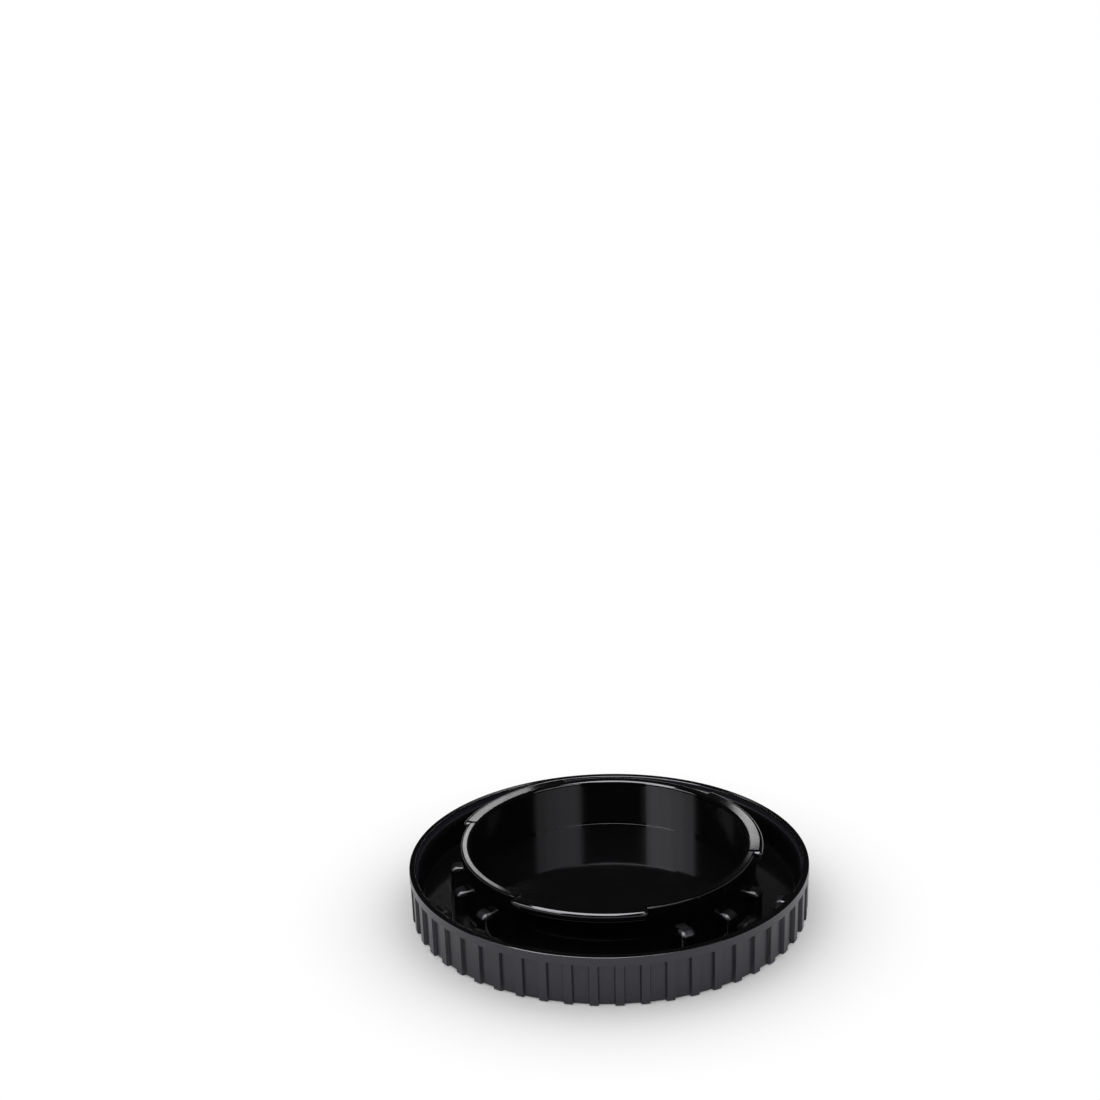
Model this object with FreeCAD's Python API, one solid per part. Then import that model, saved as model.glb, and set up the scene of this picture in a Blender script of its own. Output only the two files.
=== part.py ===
import FreeCAD, Part
import math
import os

# Body cap for an interchangeable-lens camera, moulded in one piece and lying
# on its front face with the bayonet collar up. Millimetres, +Z up, origin at
# the centre of the plane that the front face rests on.

# Skirt and rim
rim_height = 7.5             # table to the rim that seats on the mount flange
lip_width = 1.0              # flat rim, outside to inside
shoulder_width = 0.6         # the wall under the lip stands in by this
shoulder_drop = 0.85         # from the rim down to the shoulder's slope
rim_outer_round = 0.2
rim_inner_round = 0.15
shoulder_round = 0.15

# Grip: bars on the skirt between open flutes, under a plain band
band_height = 1.3            # plain band between the rim and the flutes
grip_bar_count = 52
grip_bar_width = 1.5         # at the bar's foot
grip_bar_crown = 1.0         # at the bar's crest
flute_depth = 0.7            # band to flute, square to the wall
bar_setback = 0.06           # the crests stand this far inside the band
grip_taper = 0.1             # the skirt narrows by this towards its foot
grip_phase = 2.3             # first bar, in degrees from +X
foot_round = 0.25            # rounded lower edge of the skirt
bar_foot = 0.1               # the bars end this far above the table

# Base plate
base_plate = 2.4             # thickness under the collar's cup and the channel
foot_ring_width = 4.75       # flat ring that the cap rests on
front_recess = 0.6           # depth of the round recess inside that ring
recess_round = 0.3
channel_width = 6.15         # ring-shaped channel, collar to rim
channel_floor = 2.4          # its floor above the table
channel_round = 0.5

# Bayonet collar
collar_reach = 2.9           # collar's top above the rim
collar_inner_radius = 20.4
collar_wall = 1.35
collar_inner_round = 0.5
collar_outer_round = 0.5
cup_round = 0.15             # where the cup's floor meets its wall

# Bayonet lugs, flush with the collar's top
lug_reach = 1.1              # beyond the collar's wall
lug_thickness = 1.3
lug_top_round = 0.5
lug_under_round = 0.15
lug_end_round = 0.6
lug_spans = [(-12.8, 45.0), (107.0, 163.0), (232.4, 283.8)]   # degrees from +X

# Stiffening ribs in the channel, three on the collar and two on the rim
# in each gap between lugs
gap_count = 3
rib_width = 2.2
rib_edge_round = 0.5
collar_rib_phase = 78.0      # middle rib of the first gap, in degrees from +X
collar_rib_pitch = 20.0
collar_rib_reach = 1.8       # beyond the collar's wall
collar_rib_drop = 1.2        # rib's top below the rim
rim_rib_pairs = [88.0, 219.5, 324.0]       # middle of each pair, degrees from +X
rim_rib_pitch = 18.0
rim_rib_reach = 1.4          # inwards from the rim's wall
rim_rib_drop = 0.4

# Sizes that follow from the ones above
collar_top = rim_height + collar_reach
collar_outer_radius = collar_inner_radius + collar_wall
rim_inner_radius = collar_outer_radius + channel_width
lip_inner_radius = rim_inner_radius + shoulder_width
cap_radius = lip_inner_radius + lip_width
skirt_wall = cap_radius - rim_inner_radius
shoulder_top = rim_height - shoulder_drop
cup_floor = front_recess + base_plate
band_foot = rim_height - band_height
crest_top_radius = cap_radius - bar_setback
crest_foot_radius = crest_top_radius - grip_taper
flute_top_radius = cap_radius - flute_depth
flute_foot_radius = flute_top_radius - grip_taper
recess_radius = flute_foot_radius - foot_ring_width
root_overlap = skirt_wall / 4          # how deep a fused feature starts in its wall

origin = FreeCAD.Vector(0, 0, 0)
up = FreeCAD.Vector(0, 0, 1)


def in_section(radius, height):
    """A point of the XZ plane that the turned shapes are drawn in."""
    return FreeCAD.Vector(radius, 0, height)


def rounded_outline(corners):
    """A closed wire through (point, rounding) corners, with tangent arcs."""
    arcs = []
    for index, (corner, rounding) in enumerate(corners):
        before = corners[index - 1][0]
        after = corners[(index + 1) % len(corners)][0]
        towards_before = (before - corner).normalize()
        towards_after = (after - corner).normalize()
        if rounding == 0:
            arcs.append((corner, None, corner))
            continue
        half_angle = towards_before.getAngle(towards_after) / 2
        setback = rounding / math.tan(half_angle)
        bisector = (towards_before + towards_after).normalize()
        centre = corner + bisector * (rounding / math.sin(half_angle))
        middle = centre - bisector * rounding
        arcs.append((corner + towards_before * setback, middle, corner + towards_after * setback))
    edges = []
    for index, (start, middle, end) in enumerate(arcs):
        previous_end = arcs[index - 1][2]
        if previous_end.distanceToPoint(start) > 1e-6:
            edges.append(Part.LineSegment(previous_end, start).toShape())
        if middle is not None:
            edges.append(Part.Arc(start, middle, end).toShape())
    return Part.Wire(edges)


def turned(corners, start_angle=0.0, sweep=360.0):
    """The solid that a section sweeps about the cap's axis."""
    section = Part.Face(rounded_outline(corners))
    section.rotate(origin, up, start_angle)
    return section.revolve(origin, up, sweep)


def even_angles(count, first_angle):
    """Even steps about the cap's axis, in degrees."""
    return [first_angle + index * 360.0 / count for index in range(count)]


def placed(feature, angles):
    """Copies of a feature turned about the cap's axis."""
    copies = []
    for angle in angles:
        copy = feature.copy()
        copy.rotate(origin, up, angle)
        copies.append(copy)
    return copies


def turned_body():
    """Skirt, base plate, channel and collar as one turned section."""
    return turned([
        (in_section(0, front_recess), 0),
        (in_section(recess_radius - front_recess, front_recess), recess_round),
        (in_section(recess_radius, 0), recess_round),
        (in_section(flute_foot_radius, 0), foot_round),
        (in_section(flute_top_radius, band_foot - flute_depth), 0),
        (in_section(cap_radius, band_foot), 0),
        (in_section(cap_radius, rim_height), rim_outer_round),
        (in_section(lip_inner_radius, rim_height), rim_inner_round),
        (in_section(lip_inner_radius, shoulder_top), shoulder_round),
        (in_section(rim_inner_radius, shoulder_top - shoulder_width), shoulder_round),
        (in_section(rim_inner_radius, channel_floor), channel_round),
        (in_section(collar_outer_radius, channel_floor), channel_round),
        (in_section(collar_outer_radius, collar_top), collar_outer_round),
        (in_section(collar_inner_radius, collar_top), collar_inner_round),
        (in_section(collar_inner_radius, cup_floor), cup_round),
        (in_section(0, cup_floor), 0),
    ])


def bar_section(crest_radius, height):
    """One grip bar's section at a height: two flanks and a crest on the cap's round."""
    root_radius = crest_radius - flute_depth - root_overlap
    foot_radius = crest_radius - flute_depth + bar_setback
    half_foot = grip_bar_width / 2
    half_crown = grip_bar_crown / 2
    crest_x = math.sqrt(crest_radius ** 2 - half_crown ** 2)
    foot_x = math.sqrt(foot_radius ** 2 - half_foot ** 2)
    points = [
        FreeCAD.Vector(root_radius, -half_foot, height),
        FreeCAD.Vector(foot_x, -half_foot, height),
        FreeCAD.Vector(crest_x, -half_crown, height),
        FreeCAD.Vector(crest_x, half_crown, height),
        FreeCAD.Vector(foot_x, half_foot, height),
        FreeCAD.Vector(root_radius, half_foot, height),
    ]
    crest = FreeCAD.Vector(crest_radius, 0, height)
    return Part.Wire([
        Part.LineSegment(points[0], points[1]).toShape(),
        Part.LineSegment(points[1], points[2]).toShape(),
        Part.Arc(points[2], crest, points[3]).toShape(),
        Part.LineSegment(points[3], points[4]).toShape(),
        Part.LineSegment(points[4], points[5]).toShape(),
        Part.LineSegment(points[5], points[0]).toShape(),
    ])


def grip_bars():
    """The bars of the grip, which taper with the skirt and run up into the band."""
    foot = bar_section(crest_foot_radius, bar_foot)
    head = bar_section(crest_top_radius, band_foot + bar_setback)
    bar = Part.makeLoft([foot, head], True, True)
    return placed(bar, even_angles(grip_bar_count, grip_phase))


def middle_of(edge):
    """The point halfway along an edge."""
    return edge.valueAt((edge.FirstParameter + edge.LastParameter) / 2)


def axis_distance(point):
    """How far a point stands from the cap's axis."""
    return math.hypot(point.x, point.y)


def level_edges(shape, height):
    """A shape's edges that lie level at a height, outside the collar's wall."""
    level = []
    for edge in shape.Edges:
        box = edge.BoundBox
        at_height = abs(box.ZMin - height) < 1e-6 and abs(box.ZMax - height) < 1e-6
        if at_height and axis_distance(middle_of(edge)) > collar_outer_radius:
            level.append(edge)
    return level


def bayonet_lug(first_angle, last_angle):
    """One lug, flush with the collar's top, with rounded ends and edges."""
    root_radius = collar_outer_radius - collar_wall / 2
    tip_radius = collar_outer_radius + lug_reach
    underside = collar_top - lug_thickness
    lug = turned([
        (in_section(root_radius, underside), 0),
        (in_section(tip_radius, underside), 0),
        (in_section(tip_radius, collar_top), 0),
        (in_section(root_radius, collar_top), 0),
    ], first_angle, last_angle - first_angle)
    upright = [edge for edge in lug.Edges if edge.BoundBox.ZLength > lug_thickness / 2]
    ends = [edge for edge in upright if axis_distance(middle_of(edge)) > collar_outer_radius]
    lug = lug.makeFillet(lug_end_round, ends)
    lug = lug.makeFillet(lug_top_round, level_edges(lug, collar_top))
    return lug.makeFillet(lug_under_round, level_edges(lug, underside))


def channel_rib(root_radius, tip_radius, top):
    """One rib that stands on the channel's floor, from a wall's root to its tip."""
    low_radius = min(root_radius, tip_radius)
    rib = Part.makeBox(
        abs(tip_radius - root_radius), rib_width, top - channel_floor + channel_round,
        FreeCAD.Vector(low_radius, -rib_width / 2, channel_floor - channel_round))
    eased = []
    for edge in rib.Edges:
        box = edge.BoundBox
        on_tip = abs(box.XMin - tip_radius) < 1e-6 and abs(box.XMax - tip_radius) < 1e-6
        upright = box.ZLength > rib_width
        on_top = abs(box.ZMin - top) < 1e-6
        if on_tip and (upright or on_top):
            eased.append(edge)
    return rib.makeFillet(rib_edge_round, eased)


def channel_ribs():
    """The ribs on the collar's wall and on the rim's, in the gaps between lugs."""
    collar_rib = channel_rib(
        collar_outer_radius - collar_wall / 2,
        collar_outer_radius + collar_rib_reach,
        rim_height - collar_rib_drop)
    rim_rib = channel_rib(
        lip_inner_radius + lip_width / 4,
        rim_inner_radius - rim_rib_reach,
        rim_height - rim_rib_drop)
    collar_angles = []
    for middle in even_angles(gap_count, collar_rib_phase):
        collar_angles += [middle - collar_rib_pitch, middle, middle + collar_rib_pitch]
    rim_angles = []
    for middle in rim_rib_pairs:
        rim_angles += [middle - rim_rib_pitch / 2, middle + rim_rib_pitch / 2]
    return placed(collar_rib, collar_angles) + placed(rim_rib, rim_angles)


def body_cap():
    """The whole cap, one moulding."""
    lugs = [bayonet_lug(first, last) for first, last in lug_spans]
    cap = turned_body().fuse(lugs + channel_ribs() + grip_bars())
    return cap.removeSplitter()


os.makedirs("parts", exist_ok=True)
cap = body_cap()
solids = cap.Solids
print("solids:", len(solids), "valid:", cap.isValid(), "volume mm3:", round(cap.Volume, 1))
solids[0].exportStep("parts/body_cap.step")
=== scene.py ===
import math

import bpy
from mathutils import Matrix, Vector


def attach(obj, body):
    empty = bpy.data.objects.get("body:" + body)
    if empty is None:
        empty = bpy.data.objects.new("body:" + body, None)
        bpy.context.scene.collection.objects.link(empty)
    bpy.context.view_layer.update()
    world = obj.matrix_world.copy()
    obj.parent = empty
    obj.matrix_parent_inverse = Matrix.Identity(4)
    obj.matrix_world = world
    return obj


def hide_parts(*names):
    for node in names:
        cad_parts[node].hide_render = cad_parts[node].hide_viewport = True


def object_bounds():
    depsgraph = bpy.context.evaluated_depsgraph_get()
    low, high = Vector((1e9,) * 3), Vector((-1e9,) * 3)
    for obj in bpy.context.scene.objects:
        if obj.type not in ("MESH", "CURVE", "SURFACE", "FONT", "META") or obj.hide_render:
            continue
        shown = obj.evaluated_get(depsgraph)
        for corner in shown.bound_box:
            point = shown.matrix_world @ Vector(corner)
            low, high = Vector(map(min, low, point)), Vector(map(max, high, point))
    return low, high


# A body cap: one black moulding that lies on its front face with the bayonet collar up.
# Sizes are in millimetres and degrees, unless a note says otherwise.

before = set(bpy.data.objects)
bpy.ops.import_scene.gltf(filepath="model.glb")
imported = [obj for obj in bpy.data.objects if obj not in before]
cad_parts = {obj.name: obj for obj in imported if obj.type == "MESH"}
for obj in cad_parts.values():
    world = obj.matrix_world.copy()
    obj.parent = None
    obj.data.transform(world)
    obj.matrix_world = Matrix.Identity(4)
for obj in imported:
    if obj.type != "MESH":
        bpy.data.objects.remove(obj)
mm = 0.001
cadBox = [list(corner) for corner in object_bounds()]
capRadius = cadBox[1][0] / mm
capHeight = cadBox[1][2] / mm
print("frame loaded, radius", round(capRadius, 2), "height", round(capHeight, 2))


class Wire:
    # A node's output. Sums, products and comparisons of wires add Math nodes to their tree.

    def __init__(self, tree, socket=None):
        self.tree = tree
        self.socket = socket

    def node(self, kind, settings=None, values=None):
        made = self.tree.nodes.new(kind)
        for name, value in (settings or {}).items():
            setattr(made, name, value)
        for name, value in (values or {}).items():
            if isinstance(value, Wire):
                self.tree.links.new(value.socket, made.inputs[name])
            else:
                made.inputs[name].default_value = value
        outputs = [item for item in made.outputs if item.enabled]
        return Wire(self.tree, outputs[0] if outputs else None)

    def out(self, name):
        return Wire(self.tree, self.socket.node.outputs[name])

    def maths(self, operation, *values):
        return self.node("ShaderNodeMath", {"operation": operation}, dict(enumerate(values)))

    def __add__(self, other):
        return self.maths("ADD", self, other)

    def __radd__(self, other):
        return self.maths("ADD", other, self)

    def __sub__(self, other):
        return self.maths("SUBTRACT", self, other)

    def __rsub__(self, other):
        return self.maths("SUBTRACT", other, self)

    def __mul__(self, other):
        return self.maths("MULTIPLY", self, other)

    def __rmul__(self, other):
        return self.maths("MULTIPLY", other, self)

    def __truediv__(self, other):
        return self.maths("DIVIDE", self, other)

    def __rtruediv__(self, other):
        return self.maths("DIVIDE", other, self)

    def __gt__(self, other):
        return self.maths("GREATER_THAN", self, other)

    def __lt__(self, other):
        return self.maths("LESS_THAN", self, other)

    def __abs__(self):
        return self.maths("ABSOLUTE", self)


def smoothStep(value, low, high):
    # Nought up to low, one from high on; low may be the greater of the two.
    return value.node("ShaderNodeMapRange", {"interpolation_type": "SMOOTHSTEP"},
                      {"Value": value, "From Min": low, "From Max": high})


# The moulding's section, from the centre of the front face round to the cup's floor

body = {
    "bandInset": 0.01,        # keeps the band just inside the solid's own round
    "rimOuterRound": 0.14,
    "lipWidth": 1.0,
    "lipRound": 0.15,
    "shoulderWidth": 0.6,
    "shoulderDrop": 0.85,
    "shoulderRound": 0.15,
    "channelWidth": 6.15,
    "channelFloor": 2.4,
    "channelRound": 0.5,
    "collarReach": 2.9,       # above the rim
    "collarWall": 1.35,
    "collarInnerRound": 0.45,
    "collarOuterRound": 0.2,
    "cupFloor": 3.0,
    "cupRound": 0.03,
    "recessDepth": 0.6,
    "recessRound": 0.3,
    "footRing": 4.75,
    "footRound": 0.25,
}

grip = {
    "count": 52,
    "phase": 2.3,
    "crown": 1.15,            # across a bar's crest
    "foot": 1.5,              # across a bar where it meets the flute
    "depth": 0.54,            # band to flute
    "setback": 0.06,          # crest behind the band
    "taper": 0.1,
    "bandHeight": 1.3,
    "runOut": 0.3,            # the flutes climb to the band over this height
    "steps": 3,               # facets across a flank
}

ribs = {
    "width": 2.2,
    "round": 0.95,            # at the tip of the top
    "sideRound": 0.5,         # along the upright edges
    "topEase": 0.6,           # share of that rounding along the top's long edges
    "reach": {"rimRib": 1.4, "collarRib": 1.8},
    "drop": {"rimRib": 0.4, "collarRib": 1.2},       # rib's top below the rim
    "middles": {
        "rimRib": [pair + side for pair in (88.0, 219.5, 324.0) for side in (-9.0, 9.0)],
        "collarRib": [gap + side for gap in (78.0, 198.0, 318.0) for side in (-20.0, 0.0, 20.0)],
    },
    "spread": (3.2, 8.5),     # degrees from a rib over which its columns stop running parallel
}

lugs = {
    "reach": 1.1,
    "thickness": 1.3,
    "topRound": 0.55,
    "underRound": 0.15,
    "endRound": 0.6,
    "spans": [(-12.8, 45.0), (107.0, 163.0), (232.4, 283.8)],         # angles of both ends
}

mesh = {
    "arcSteps": 4,
    "shortArcSteps": 2,       # on the front face, the shoulder and under a lug
    "cupArcSteps": 3,
    "guard": 0.05,            # extra row this far past each rounding keeps the flats flat
    "recessRows": 4,
    "recessMargin": 1.5,      # from the recess's edge in to the nearest of its flat rows
    "skirtRows": 3,
    "skirtMargin": 0.75,      # from the foot up to the lowest of the skirt's rows
    "bandMargins": (0.1, 0.5),        # of the band's two rows, from its foot and from the rim
    "ribMargin": 0.2,         # from a rib's rounded tip in to the nearest row of its top
    "collarMargins": (1.8, 3.0),      # of the rows behind a rib on the collar, from the channel's floor
    "collarMargin": 0.6,      # from the top of such a rib up to the collar's next row
    "lugMargins": (0.1, 0.6),         # of the rows behind a lug's edge, from its underside
    "cupRows": 5,
    "cupMargin": 2.0,         # from the cup's wall in to the nearest row of its floor
    "edgeShares": (0.0, 0.08, 0.3, 0.6, 1.0, 1.2),   # columns over a rounded edge, in roundings
    "sidePitch": 0.03,        # a rib's or lug's side wall takes this much of the round
    "widestColumn": 1.2,
    "sharpAngle": 40.0,
    "mergeDistance": 0.001,
}

bandRadius = capRadius - body["bandInset"]
lipInner = capRadius - body["lipWidth"]
channelOuter = lipInner - body["shoulderWidth"]
collarOuter = channelOuter - body["channelWidth"]
collarInner = collarOuter - body["collarWall"]
rimHeight = capHeight - body["collarReach"]
bandFoot = rimHeight - grip["bandHeight"]
lugTip = collarOuter + lugs["reach"]
lugUnder = capHeight - lugs["thickness"]
ribTip = {"rimRib": channelOuter - ribs["reach"]["rimRib"],
          "collarRib": collarOuter + ribs["reach"]["collarRib"]}
ribTop = {name: rimHeight - drop for name, drop in ribs["drop"].items()}
ribRadius = {"rimRib": (ribTip["rimRib"] + lipInner) / 2,        # where a rib has its full width
             "collarRib": (ribTip["collarRib"] + collarOuter) / 2}
raised = ("bar", "rimRib", "collarRib", "lug")

# Corners of the section, as distance from the axis and height
rim = (bandRadius, rimHeight)
lip = (lipInner, rimHeight)
shoulderHead = (lipInner, rimHeight - body["shoulderDrop"])
shoulderFoot = (channelOuter, shoulderHead[1] - body["shoulderWidth"])
collarHead = (collarOuter, capHeight)
cupHead = (collarInner, capHeight)


def bend(before, corner, after, rounding, steps=None):
    # Rows round a corner of the section: each a point, and the way in which an edge eases there.
    steps = steps or mesh["arcSteps"]
    before, corner, after = Vector(before), Vector(corner), Vector(after)
    back, forward = (before - corner).normalized(), (after - corner).normalized()
    halfAngle = back.angle(forward) / 2
    setback = rounding / math.tan(halfAngle)
    inward = (back + forward).normalized()
    centre = corner + inward * (rounding / math.sin(halfAngle))
    start, end = corner + back * setback, corner + forward * setback
    first, last = start - centre, end - centre
    turn = first.angle(last)
    rows = [(start + back * mesh["guard"], -first.normalized())]
    for step in range(steps + 1):
        share = step / steps
        arm = (math.sin((1 - share) * turn) * first + math.sin(share * turn) * last) / math.sin(turn)
        rows.append((centre + arm, -arm.normalized()))
    rows.append((end + forward * mesh["guard"], -last.normalized()))
    return rows


def straight(start, end, count, ease=(0.0, 0.0)):
    # Rows spread along a straight stretch, both ends included.
    start, end = Vector(start), Vector(end)
    return [(start.lerp(end, index / max(count - 1, 1)), Vector(ease)) for index in range(count)]


def single(point, ease=(0.0, 0.0)):
    return straight(point, point, 1, ease)


def records(plain, spread=None, **lifted):
    # One record per row: the plain section's point, how each raised feature moves it, and
    # beside which kind of rib the columns spread there.
    made = []
    for index, (point, _) in enumerate(plain):
        row = {"place": point}
        for name in raised:
            place, ease = lifted[name][index] if name in lifted else (point, Vector((0.0, 0.0)))
            row[name] = place - point
            row[name + "Ease"] = ease
        for name in ribTip:
            row[name + "Spread"] = float(name == spread)
        made.append(row)
    return made


def frontRows():
    # Shallow recess, foot ring, and the skirt's flutes and bars with its rounded lower edge
    flutes = bandRadius - grip["depth"]
    crests = bandRadius - grip["setback"]
    fluteTop = bandFoot - grip["runOut"]
    foot, head = (flutes - grip["taper"], 0.0), (flutes, fluteTop)
    barFoot, barHead = (crests - grip["taper"], 0.0), (crests, fluteTop)
    centre = (0.0, body["recessDepth"])
    ringInner = (foot[0] - body["footRing"], 0.0)
    recessEdge = (ringInner[0] - body["recessDepth"], body["recessDepth"])
    flatEnd = (recessEdge[0] - mesh["recessMargin"], body["recessDepth"])
    low = 1.0 - mesh["skirtMargin"] / fluteTop
    made = records(straight(centre, flatEnd, mesh["recessRows"]))
    made += records(bend(centre, recessEdge, ringInner, body["recessRound"], mesh["shortArcSteps"]))
    made += records(bend(recessEdge, ringInner, foot, body["recessRound"], mesh["shortArcSteps"]))
    made += records(bend(ringInner, foot, head, body["footRound"]),
                    bar=bend(ringInner, barFoot, barHead, body["footRound"]))
    made += records(straight(Vector(head).lerp(Vector(foot), low), head, mesh["skirtRows"]),
                    bar=straight(Vector(barHead).lerp(Vector(barFoot), low), barHead, mesh["skirtRows"]))
    return made


def rimRows():
    # Plain band and lip
    bandEdge = (bandRadius, bandFoot)
    low, high = mesh["bandMargins"]
    made = records(single(bandEdge))
    made += records(straight((bandRadius, bandFoot + low), (bandRadius, rimHeight - high), 2))
    made += records(bend(bandEdge, rim, lip, body["rimOuterRound"]))
    made += records(bend(rim, lip, shoulderHead, body["lipRound"]))
    return made


def channelRows():
    # Shoulder and channel. The rim's ribs are far from the axis and the collar's near it, and
    # their edges ease down on top and back towards their walls.
    floor = body["channelFloor"]
    farTop, nearTop = ribTop["rimRib"], ribTop["collarRib"]
    outerCorner, innerCorner = (channelOuter, floor), (collarOuter, floor)
    farHead, nearHead = (lipInner, farTop), (collarOuter, nearTop)
    farTip, nearTip = (ribTip["rimRib"], farTop), (ribTip["collarRib"], nearTop)
    farFoot, nearFoot = (ribTip["rimRib"], floor), (ribTip["collarRib"], floor)
    tipReach = ribs["round"] + mesh["ribMargin"]
    farFlat, nearFlat = (farTip[0] + tipReach, farTop), (nearTip[0] - tipReach, nearTop)
    topEase, farEase, nearEase = (0.0, -ribs["topEase"]), (1.0, 0.0), (-1.0, 0.0)
    shoulder = bend(lip, shoulderHead, shoulderFoot, body["shoulderRound"], mesh["shortArcSteps"])
    shoulder += bend(shoulderHead, shoulderFoot, outerCorner, body["shoulderRound"], mesh["shortArcSteps"])
    low, high = ((collarOuter, floor + margin) for margin in mesh["collarMargins"])
    wall = straight(low, high, 2)

    made = records(single(farHead), "rimRib", rimRib=single(farHead, topEase))
    made += records(shoulder, "rimRib",
                    rimRib=straight(farHead, farFlat, len(shoulder) + 1, topEase)[1:])
    made += records(bend(shoulderFoot, outerCorner, farFoot, body["channelRound"]), "rimRib",
                    rimRib=bend(farHead, farTip, farFoot, ribs["round"]))
    made += records(single(farFoot), "rimRib", rimRib=single(farFoot, farEase))
    made += records(single(nearFoot), "collarRib", collarRib=single(nearFoot, nearEase))
    made += records(bend(nearFoot, innerCorner, nearHead, body["channelRound"]), "collarRib",
                    collarRib=bend(nearFoot, nearTip, nearHead, ribs["round"]))
    made += records(wall, "collarRib", collarRib=straight(nearFlat, nearHead, len(wall) + 1, topEase)[:-1])
    made += records(single(nearHead), "collarRib", collarRib=single(nearHead, topEase))
    return made


def collarRows():
    # Collar's outer wall with the lugs at its head, its top, and the cup's wall and floor
    lugRoot, lugLow, lugHigh = (collarOuter, lugUnder), (lugTip, lugUnder), (lugTip, capHeight)
    cupCorner, cupCentre = (collarInner, body["cupFloor"]), (0.0, body["cupFloor"])
    cupFlat = (collarInner - mesh["cupMargin"], body["cupFloor"])
    wallFoot = (collarOuter, ribTop["collarRib"] + mesh["collarMargin"])
    lugEdge = bend(lugRoot, lugLow, lugHigh, lugs["underRound"], mesh["shortArcSteps"])
    low, high = ((collarOuter, lugUnder + margin) for margin in mesh["lugMargins"])
    made = records(straight(wallFoot, lugRoot, 2))
    made += records(straight(low, high, len(lugEdge)), lug=lugEdge)
    made += records(bend(lugRoot, collarHead, cupHead, body["collarOuterRound"]),
                    lug=bend(lugLow, lugHigh, cupHead, lugs["topRound"]))
    made += records(bend(collarHead, cupHead, cupCorner, body["collarInnerRound"]))
    made += records(bend(cupHead, cupCorner, cupCentre, body["cupRound"], mesh["cupArcSteps"]))
    made += records(straight(cupFlat, cupCentre, mesh["cupRows"]))
    return made


def edgeTurns(first, last, radius, rounding):
    # Columns at both ends of a raised feature, from just outside it to past its rounding.
    perMm = math.degrees(1 / radius)      # degrees to a millimetre of the round
    turns = {first - mesh["sidePitch"] * perMm, last + mesh["sidePitch"] * perMm}
    for share in mesh["edgeShares"]:
        turns.update((first + share * rounding * perMm, last - share * rounding * perMm))
    return turns


def columnTurns():
    # The angles, in degrees, at which the section is set round the axis.
    turns = set()
    perMm = math.degrees(1 / bandRadius)
    for bar in range(grip["count"]):
        centre = grip["phase"] + bar * 360.0 / grip["count"]
        turns.add(centre)
        for step in range(grip["steps"] + 1):
            across = grip["crown"] / 2 + (grip["foot"] - grip["crown"]) / 2 * step / grip["steps"]
            turns.update((centre - across * perMm, centre + across * perMm))
    for name, middles in ribs["middles"].items():
        half = math.degrees(ribs["width"] / 2 / ribRadius[name])
        for middle in middles:
            turns |= edgeTurns(middle - half, middle + half, ribRadius[name], ribs["sideRound"])
    for first, last in lugs["spans"]:
        turns |= edgeTurns(first, last, lugTip, lugs["endRound"])
    ordered = sorted(turn % 360.0 for turn in turns)
    filled = []
    for turn, following in zip(ordered, ordered[1:] + [ordered[0] + 360.0]):
        parts = max(math.ceil((following - turn) / mesh["widestColumn"]), 1)
        filled += [turn + (following - turn) * part / parts for part in range(parts)]
    return filled


def fromNearest(turn, middles):
    return min(((turn - middle + 180.0) % 360.0 - 180.0 for middle in middles), key=abs)


def insideLug(turn):
    # Degrees between a column and the nearest lug's end, above zero within the lug.
    return max((last - first) / 2 - abs(fromNearest(turn, [(first + last) / 2]))
               for first, last in lugs["spans"])


def strandObject(name, points, attributes, closed=False):
    # A chain of edges whose vertices carry named values for the node tree.
    data = bpy.data.meshes.new(name)
    edges = [(index, index + 1) for index in range(len(points) - 1)]
    if closed:
        edges.append((len(points) - 1, 0))
    data.from_pydata(points, edges, [])
    for key, values in attributes.items():
        if isinstance(values[0], Vector):
            layer = data.attributes.new(key, "FLOAT_VECTOR", "POINT")
            flat = [axis for value in values for axis in (value.x, 0.0, value.y)]
            layer.data.foreach_set("vector", flat)
        else:
            layer = data.attributes.new(key, "FLOAT", "POINT")
            layer.data.foreach_set("value", values)
    strand = bpy.data.objects.new(name, data)
    bpy.context.collection.objects.link(strand)
    return strand


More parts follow.
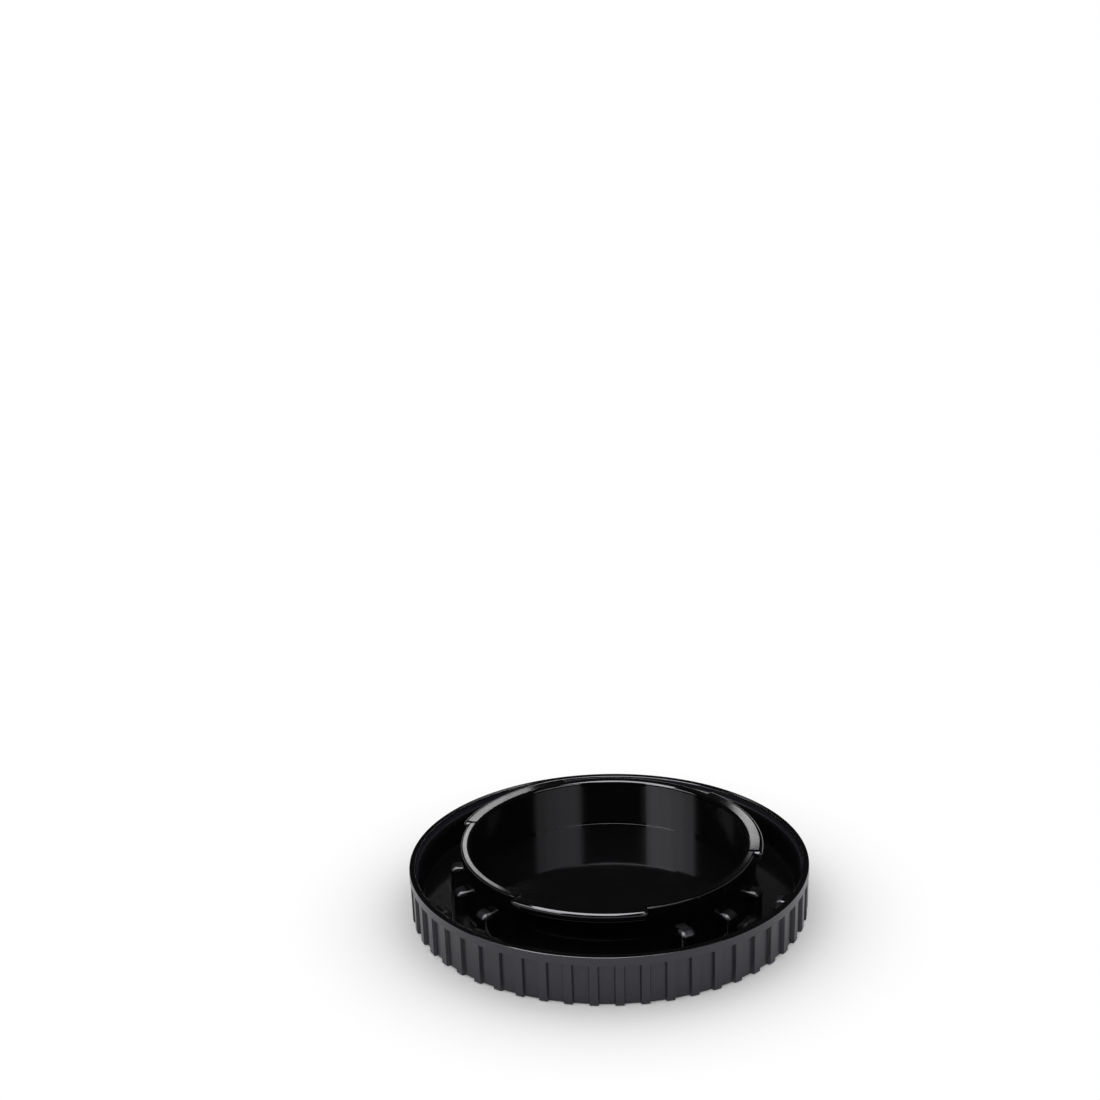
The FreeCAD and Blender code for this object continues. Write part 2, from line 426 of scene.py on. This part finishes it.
def mouldingTree(sizes):
    # Sweeps the section round the ring, then raises bars, ribs and lugs where their angles fall.
    tree = bpy.data.node_groups.new("capMoulding", "GeometryNodeTree")
    sockets = tree.interface
    sockets.new_socket(name="Geometry", in_out="INPUT", socket_type="NodeSocketGeometry")
    sockets.new_socket(name="Ring", in_out="INPUT", socket_type="NodeSocketObject")
    sockets.new_socket(name="Material", in_out="INPUT", socket_type="NodeSocketMaterial")
    for name in sizes:
        sockets.new_socket(name=name, in_out="INPUT", socket_type="NodeSocketFloat")
    sockets.new_socket(name="Geometry", in_out="OUTPUT", socket_type="NodeSocketGeometry")
    start = Wire(tree).node("NodeGroupInput")

    def attribute(name, kind="FLOAT"):
        return start.node("GeometryNodeInputNamedAttribute", {"data_type": kind}, {"Name": name})

    def scaled(name, factor):
        return start.node("ShaderNodeVectorMath", {"operation": "SCALE"},
                          {0: attribute(name, "FLOAT_VECTOR"), "Scale": factor})

    def quarterRound(distance, radius):
        # How far a rounded edge falls back at a distance inside it
        away = start.maths("MAXIMUM", radius - distance, 0.0)
        return radius - start.maths("SQRT", start.maths("MAXIMUM", radius * radius - away * away, 0.0))

    turn = attribute("turn")
    profile = start.node("GeometryNodeMeshToCurve", values={"Mesh": start.out("Geometry")})
    ringInfo = start.node("GeometryNodeObjectInfo", values={"Object": start.out("Ring")}).out("Geometry")
    ring = start.node("GeometryNodeMeshToCurve", values={"Mesh": ringInfo})
    swept = start.node("GeometryNodeCurveToMesh", values={"Curve": ring, "Profile Curve": profile})

    barHalf = 180.0 / start.out("Bars")
    barTurn = start.maths("WRAP", turn - start.out("Bar phase"), barHalf, barHalf * -1.0)
    barAcross = abs(barTurn) * start.out("Bar radius")
    barIn = smoothStep(barAcross, start.out("Bar foot") / 2.0, start.out("Bar crown") / 2.0)

    # How far each column stands inside the edge of a rib or lug
    edges = {"lug": attribute("lugInside") * start.out("Lug radius")}
    for name in ribTip:
        across = abs(attribute(name + "Turn")) * start.out(name + " radius")
        edges[name] = start.out("Rib width") / 2.0 - across
    moves = [scaled("bar", barIn)]
    for name, edge in edges.items():
        within = edge > -mesh["sidePitch"] * mm / 2
        rounding = start.out("Lug round" if name == "lug" else "Rib round")
        eased = within * quarterRound(start.maths("MAXIMUM", edge, 0.0), rounding)
        moves += [scaled(name, within), scaled(name + "Ease", eased)]
    place = attribute("place", "FLOAT_VECTOR")
    for move in moves:
        place = start.node("ShaderNodeVectorMath", {"operation": "ADD"}, {0: place, 1: move})
    parts = start.node("ShaderNodeSeparateXYZ", values={0: place})
    radius, height = parts.out("X"), parts.out("Z")

    # Beside a rib the columns spread with the radius, so that the rib's sides run parallel
    angle = turn
    for name in ribTip:
        offset = attribute(name + "Turn")
        near = 1.0 - smoothStep(abs(offset), *ribs["spread"])
        full = start.out(name + " radius") * (180.0 / math.pi)
        offAxis = start.maths("MAXIMUM", radius, mm)
        widen = near * attribute(name + "Spread") * (full / offAxis - 1.0)
        angle = angle + offset * widen
    angle = start.maths("RADIANS", angle)
    where = start.node("ShaderNodeCombineXYZ", values={
        "X": radius * start.maths("COSINE", angle), "Y": radius * start.maths("SINE", angle), "Z": height})
    placed = start.node("GeometryNodeSetPosition", values={"Geometry": swept, "Position": where})

    # The sweep has its faces inward, so they are turned over, and its two poles are closed
    outward = start.node("GeometryNodeFlipFaces", values={"Mesh": placed})
    closed = start.node("GeometryNodeMergeByDistance",
                        values={"Geometry": outward, "Distance": mesh["mergeDistance"] * mm})
    smooth = start.node("GeometryNodeSetShadeSmooth", values={"Geometry": closed})
    real = start.node("GeometryNodeRealizeInstances", values={"Geometry": smooth})
    dressed = start.node("GeometryNodeSetMaterial",
                         values={"Geometry": real, "Material": start.out("Material")})
    start.node("NodeGroupOutput", values={"Geometry": dressed})
    return tree


def makeMoulding(material):
    rows = frontRows() + rimRows() + channelRows() + collarRows()
    perRow = {"place": [row["place"] * mm for row in rows]}
    for name in raised:
        perRow[name] = [row[name] * mm for row in rows]
        perRow[name + "Ease"] = [row[name + "Ease"] for row in rows]
    turns = columnTurns()
    perColumn = {"turn": turns, "lugInside": [insideLug(turn) for turn in turns]}
    for name, middles in ribs["middles"].items():
        perRow[name + "Spread"] = [row[name + "Spread"] for row in rows]
        perColumn[name + "Turn"] = [fromNearest(turn, middles) for turn in turns]
    heights = [(0.0, index * mm, 0.0) for index in range(len(rows))]
    circle = [(math.cos(math.radians(turn)), math.sin(math.radians(turn)), 0.0) for turn in turns]

    # The tree reads only these strands' order and named values, and puts every point in its place
    section = strandObject("section", heights, perRow)
    ring = strandObject("ring", circle, perColumn, closed=True)
    sizes = {
        "Bars": float(grip["count"]),
        "Bar phase": grip["phase"],
        "Bar crown": grip["crown"] * mm,
        "Bar foot": grip["foot"] * mm,
        "Bar radius": math.radians(bandRadius) * mm,      # these radii turn degrees into lengths
        "Rib width": ribs["width"] * mm,
        "Rib round": ribs["sideRound"] * mm,
        "rimRib radius": math.radians(ribRadius["rimRib"]) * mm,
        "collarRib radius": math.radians(ribRadius["collarRib"]) * mm,
        "Lug radius": math.radians(lugTip) * mm,
        "Lug round": lugs["endRound"] * mm,
    }
    tree = mouldingTree(sizes)
    modifier = section.modifiers.new("capMoulding", "NODES")
    modifier.node_group = tree
    inputs = {"Ring": ring, "Material": material, **sizes}
    for item in tree.interface.items_tree:
        if item.in_out == "INPUT" and item.name in inputs:
            modifier[item.identifier] = inputs[item.name]
    bpy.context.view_layer.update()
    evaluated = section.evaluated_get(bpy.context.evaluated_depsgraph_get())
    data = bpy.data.meshes.new_from_object(evaluated)
    data.name = "bodyCap"
    for helper in (section, ring):
        bpy.data.objects.remove(helper)
    cap = bpy.data.objects.new("bodyCap", data)
    bpy.context.collection.objects.link(cap)
    for used in [item.name for item in data.attributes if item.name in perRow or item.name in perColumn]:
        data.attributes.remove(data.attributes[used])
    data.set_sharp_from_angle(angle=math.radians(mesh["sharpAngle"]))
    data.calc_loop_triangles()
    print("moulding:", len(rows), "rows,", len(turns), "columns,", len(data.loop_triangles), "triangles")
    return cap


# Black plastic: gloss inside, satin on the skirt, whose lighter colour is partly painted sheen

plastic = {
    "colour": (0.0030, 0.0029, 0.0033, 1.0),
    "dusty": (0.0055, 0.0053, 0.0060, 1.0),
    "satinPaintedSheen": (0.0235, 0.0232, 0.0310, 1.0),          # lighter than the rest: partly the skirt's satin finish, partly painted sheen for the white floor it reflects
    "ior": 1.5,
    "specularTint": (0.96, 0.95, 1.0, 1.0),
    "insideRoughness": 0.06,          # outside the zones below
    "zoneRoughness": {"skirt": 0.32, "cupWall": 0.16, "ribTops": 0.36, "channelFloor": 0.22},
    "zoneEdges": {            # where a finish begins to show, and where it is full
        "skirtFrom": (lipInner - 0.3, lipInner),
        "skirtBelow": (rimHeight - 0.1, rimHeight - 0.15),
        "cupAbove": (body["cupFloor"] + 0.2, body["cupFloor"] + 0.5),
        "cupBelow": (capHeight - 0.4, capHeight - 0.8),
        "offCollar": (collarOuter + 0.1, collarOuter + 0.25),
        "offRim": (channelOuter - 0.1, channelOuter - 0.25),
        "channelBelow": (rimHeight + 0.5, rimHeight + 0.3),
        "ribTopsAbove": (ribTop["collarRib"] - 1.1, ribTop["collarRib"] - 0.5),
        "floorBelow": (body["channelFloor"] + 0.5, body["channelFloor"] + 0.2),
    },
    "intoCupWall": 0.1,       # how far the cup's zone reaches
    "wave": {"Scale": 0.35, "Detail": 1.0},           # noises, with their scales per millimetre
    "grain": {"Scale": 9.0, "Detail": 2.0},
    "patches": {"Scale": 0.22, "Detail": 4.0, "Roughness": 0.6},
    "waveDepth": 0.0015,
    "grainDepth": 0.004,
    "insideGrain": 0.03,      # as a share of the skirt's
    "insidePatchy": 0.02,     # how much the patches change the roughness
    "skirtPatchy": 0.06,      # and what the skirt adds to that
    "dustRange": (0.45, 0.8),         # of the patches over which dust sets in
    "dustMost": 0.5,
}


def blackPlastic():
    material = bpy.data.materials.new("blackPlastic")
    material.use_nodes = True
    tree = material.node_tree
    tree.nodes.clear()
    start = Wire(tree).node("ShaderNodeTexCoord")
    inMm = start.node("ShaderNodeVectorMath", {"operation": "SCALE"},
                      {0: start.out("Object"), "Scale": 1.0 / mm})
    parts = start.node("ShaderNodeSeparateXYZ", values={0: inMm})
    across, along, height = parts.out("X"), parts.out("Y"), parts.out("Z")
    radius = start.maths("SQRT", across * across + along * along)

    def noise(name):
        return start.node("ShaderNodeTexNoise", values={"Vector": inMm, **plastic[name]})

    def past(value, edge):
        return smoothStep(value, *plastic["zoneEdges"][edge])

    inChannel = past(radius, "offCollar") * past(radius, "offRim") * past(height, "channelBelow")
    inCup = radius < collarInner + plastic["intoCupWall"]
    skirt = past(radius, "skirtFrom") * past(height, "skirtBelow")
    zones = {
        "skirt": skirt,
        "cupWall": inCup * past(height, "cupAbove") * past(height, "cupBelow"),
        "ribTops": inChannel * past(height, "ribTopsAbove"),
        "channelFloor": inChannel * past(height, "floorBelow"),
    }
    roughness = plastic["insideRoughness"]
    for name, mask in zones.items():
        roughness = roughness + mask * (plastic["zoneRoughness"][name] - plastic["insideRoughness"])
    patches = noise("patches")
    patchy = plastic["insidePatchy"] + plastic["skirtPatchy"] * skirt
    roughness = roughness + (patches - 0.5) * patchy      # a noise lies about 0.5

    dust = smoothStep(patches, *plastic["dustRange"]) * plastic["dustMost"]
    colour = start.node("ShaderNodeMix", {"data_type": "RGBA"},
                        {0: dust, 6: plastic["colour"], 7: plastic["dusty"]})
    # The skirt takes a lighter colour: partly its satin finish, partly painted sheen that stands for the
    # white floor's light on it
    colour = start.node("ShaderNodeMix", {"data_type": "RGBA"},
                        {0: skirt, 6: colour, 7: plastic["satinPaintedSheen"]})
    waveBump = start.node("ShaderNodeBump", values={
        "Strength": 1.0, "Distance": plastic["waveDepth"] * mm, "Height": noise("wave")})
    grainBump = start.node("ShaderNodeBump", values={
        "Strength": plastic["insideGrain"] + (1.0 - plastic["insideGrain"]) * skirt,
        "Distance": plastic["grainDepth"] * mm,
        "Height": noise("grain"),
        "Normal": waveBump})
    shader = start.node("ShaderNodeBsdfPrincipled", values={
        "Base Color": colour, "Roughness": roughness, "IOR": plastic["ior"],
        "Specular Tint": plastic["specularTint"], "Normal": grainBump})
    start.node("ShaderNodeOutputMaterial", values={"Surface": shader})
    return material


# Camera, at the photograph's viewing angle

view = {
    "elevation": 26.96,
    "distance": 295.0,
    "picture": 1100.0,        # pixels across
    "focal": 1966.8,          # in pixels of that picture
    "aimPixel": (608.5, 856.9),       # where the rim's centre falls in it
    "roll": -1.194,
    "sensorWidth": 36.0,
    "clip": (0.01, 50.0),     # metres
}


def makeCamera():
    # The camera turns away from the rim's centre until that falls on its pixel, with the lens unshifted.
    elevation = math.radians(view["elevation"])
    back = Vector((0.0, -math.cos(elevation), math.sin(elevation)))
    right = Vector((1.0, 0.0, 0.0))
    facing = Matrix((right, back.cross(right), back)).transposed()
    middle = view["picture"] / 2
    asideX = (view["aimPixel"][0] - middle) / view["focal"]
    asideY = (view["aimPixel"][1] - middle) / view["focal"]
    yaw = math.atan(asideX)
    pitch = math.atan2(asideY, math.hypot(asideX, 1.0))
    turned = (facing @ Matrix.Rotation(math.radians(view["roll"]), 3, "Z")
              @ Matrix.Rotation(pitch, 3, "X") @ Matrix.Rotation(yaw, 3, "Y"))
    data = bpy.data.cameras.new("camera")
    data.sensor_fit = "HORIZONTAL"
    data.sensor_width = view["sensorWidth"]
    data.lens = view["focal"] / view["picture"] * data.sensor_width
    data.clip_start, data.clip_end = view["clip"]
    camera = bpy.data.objects.new("camera", data)
    camera.matrix_world = turned.to_4x4()
    camera.location = (back * view["distance"] + Vector((0.0, 0.0, rimHeight))) * mm
    bpy.context.collection.objects.link(camera)
    bpy.context.scene.camera = camera


# White floor and soft studio light

studio = {
    "floorSize": 12.0,        # metres
    "floorDrop": 0.02,        # below the cap's foot
    "floorColour": 0.9,
    "floorLift": 0.06,        # added where the camera or a gloss sees the floor
    "plainFrom": 0.030,       # metres from the cap's middle at which the floor begins to turn plain white
    "plainAt": 0.050,
    "dim": 0.012,             # radiance of the room, which the camera sees as plain white
    "boxDistance": 1.6,       # metres
    "boxes": [                # angles seen from the cap, azimuth to the camera's right, and radiance
        {"name": "softboxOver", "azimuth": -28.0, "elevation": 68.0, "wide": 54.0, "high": 50.0,
         "level": 11.0, "onlyIn": "gloss"},
        {"name": "openSky", "azimuth": 180.0, "elevation": 76.0, "wide": 130.0, "high": 130.0,
         "level": 1.1, "onlyIn": "matt"},
    ],
    "banks": [                # panels side by side: azimuths of the bank's ends, each panel's radiance
        {"name": "bankRight", "first": 23.2, "last": 65.2, "levels": (5.4, 5.0, 4.2, 3.2)},
        {"name": "bankLeft", "first": -34.0, "last": -80.4, "levels": (9.6, 8.8, 7.2, 5.2)},
    ],
    "bankElevation": 27.0,
    "bankHigh": 17.0,
    "stripDistance": 1.5,     # metres, from the middle of the collar's top
    "strips": [               # thin lamps that show in that top: width in metres, angles of each bend
        {"name": "stripLeft", "level": 5.2, "wide": 0.0095,
         "bends": [(-177.07, 24.70), (-176.11, 24.91), (-175.32, 25.32), (-174.72, 25.83),
                   (-174.49, 26.40), (-174.50, 26.84), (-174.75, 27.27), (-175.19, 27.63),
                   (-175.79, 27.93)]},
        {"name": "stripRight", "level": 4.2, "wide": 0.0130,
         "bends": [(175.15, 25.18), (174.65, 25.77), (174.44, 26.12), (174.35, 26.65)]},
    ],
}


def makeFloor():
    half = studio["floorSize"] / 2
    drop = -studio["floorDrop"] * mm
    corners = [(-half, -half, drop), (half, -half, drop), (half, half, drop), (-half, half, drop)]
    data = bpy.data.meshes.new("floor")
    data.from_pydata(corners, [], [(0, 1, 2, 3)])
    floor = bpy.data.objects.new("floor", data)
    bpy.context.collection.objects.link(floor)
    material = bpy.data.materials.new("paleFloor")
    material.use_nodes = True
    tree = material.node_tree
    tree.nodes.clear()
    rays = Wire(tree).node("ShaderNodeLightPath")
    seen = rays.maths("MINIMUM", rays.out("Is Camera Ray") + rays.out("Is Glossy Ray")
                      + rays.out("Is Transmission Ray"), 1.0)
    position = rays.node("ShaderNodeTexCoord").out("Object")
    away = rays.node("ShaderNodeVectorMath", {"operation": "LENGTH"}, {0: position})
    plain = smoothStep(away, studio["plainFrom"], studio["plainAt"])
    level = studio["floorColour"]
    lit = rays.node("ShaderNodeBsdfDiffuse", values={"Color": (level, level, level, 1.0)})
    lift = rays.node("ShaderNodeEmission", values={"Strength": seen * studio["floorLift"]})
    white = rays.node("ShaderNodeEmission", values={"Strength": 1.0})
    near = rays.node("ShaderNodeAddShader", values={0: lit, 1: lift})
    mixed = rays.node("ShaderNodeMixShader", values={0: plain * seen, 1: near, 2: white})
    rays.node("ShaderNodeOutputMaterial", values={"Surface": mixed})
    data.materials.append(material)


def makeLamp(name, place, along, wide, high, level, onlyIn):
    # A rectangle of even light, turned to the cap, with its place and its sizes in metres.
    data = bpy.data.lights.new(name, "AREA")
    data.shape = "RECTANGLE"
    data.size, data.size_y = wide, high
    data.energy = level * wide * high * math.pi
    away = place.normalized()
    side = (along - away * along.dot(away)).normalized()
    lamp = bpy.data.objects.new(name, data)
    facing = Matrix((side, away.cross(side), away)).transposed()
    lamp.matrix_world = Matrix.Translation(place) @ facing.to_4x4()
    lamp.visible_camera = False
    lamp.visible_diffuse = onlyIn != "gloss"
    lamp.visible_glossy = onlyIn != "matt"
    bpy.context.collection.objects.link(lamp)


def direction(azimuth, elevation):
    azimuth, elevation = math.radians(azimuth), math.radians(elevation)
    return Vector((math.sin(azimuth) * math.cos(elevation), -math.cos(azimuth) * math.cos(elevation),
                   math.sin(elevation)))


def makeSoftbox(name, azimuth, elevation, wide, high, level, onlyIn):
    # Its width and height are the angles that it fills, seen from the cap.
    distance = studio["boxDistance"]
    place = direction(azimuth, elevation) * distance
    sizes = [2 * distance * math.tan(math.radians(angle / 2)) for angle in (wide, high)]
    makeLamp(name, place, Vector((0.0, 0.0, 1.0)).cross(place), *sizes, level, onlyIn)


def makeLights():
    for box in studio["boxes"]:
        makeSoftbox(**box)
    elevation = studio["bankElevation"]
    for bank in studio["banks"]:
        pitch = (bank["last"] - bank["first"]) / len(bank["levels"])
        wide = abs(pitch) * math.cos(math.radians(elevation))
        for index, level in enumerate(bank["levels"]):
            name = bank["name"] + str(index)
            azimuth = bank["first"] + pitch * (index + 0.5)
            makeSoftbox(name, azimuth, elevation, wide, studio["bankHigh"], level, "gloss")
    centre = Vector((0.0, 0.0, capHeight * mm))
    for strip in studio["strips"]:
        bends = [centre + direction(*bend) * studio["stripDistance"] for bend in strip["bends"]]
        for index, (start, end) in enumerate(zip(bends, bends[1:])):
            makeLamp(strip["name"] + str(index), (start + end) / 2, end - start, (end - start).length,
                     strip["wide"], strip["level"], "gloss")


def makeWorld():
    world = bpy.data.worlds.new("studio")
    bpy.context.scene.world = world
    world.use_nodes = True
    tree = world.node_tree
    tree.nodes.clear()
    rays = Wire(tree).node("ShaderNodeLightPath")
    plain = (1.0, 1.0, 1.0, 1.0)
    dim = rays.node("ShaderNodeBackground", values={"Color": plain, "Strength": studio["dim"]})
    white = rays.node("ShaderNodeBackground", values={"Color": plain, "Strength": 1.0})
    mixed = rays.node("ShaderNodeMixShader", values={0: rays.out("Is Camera Ray"), 1: dim, 2: white})
    rays.node("ShaderNodeOutputWorld", values={"Surface": mixed})


makeCamera()
makeFloor()
makeLights()
makeWorld()
print("studio ready")

cap = makeMoulding(blackPlastic())
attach(cap, "root")
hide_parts("body_cap")
print("cap ready")

bpy.context.scene.view_settings.view_transform = "Standard"
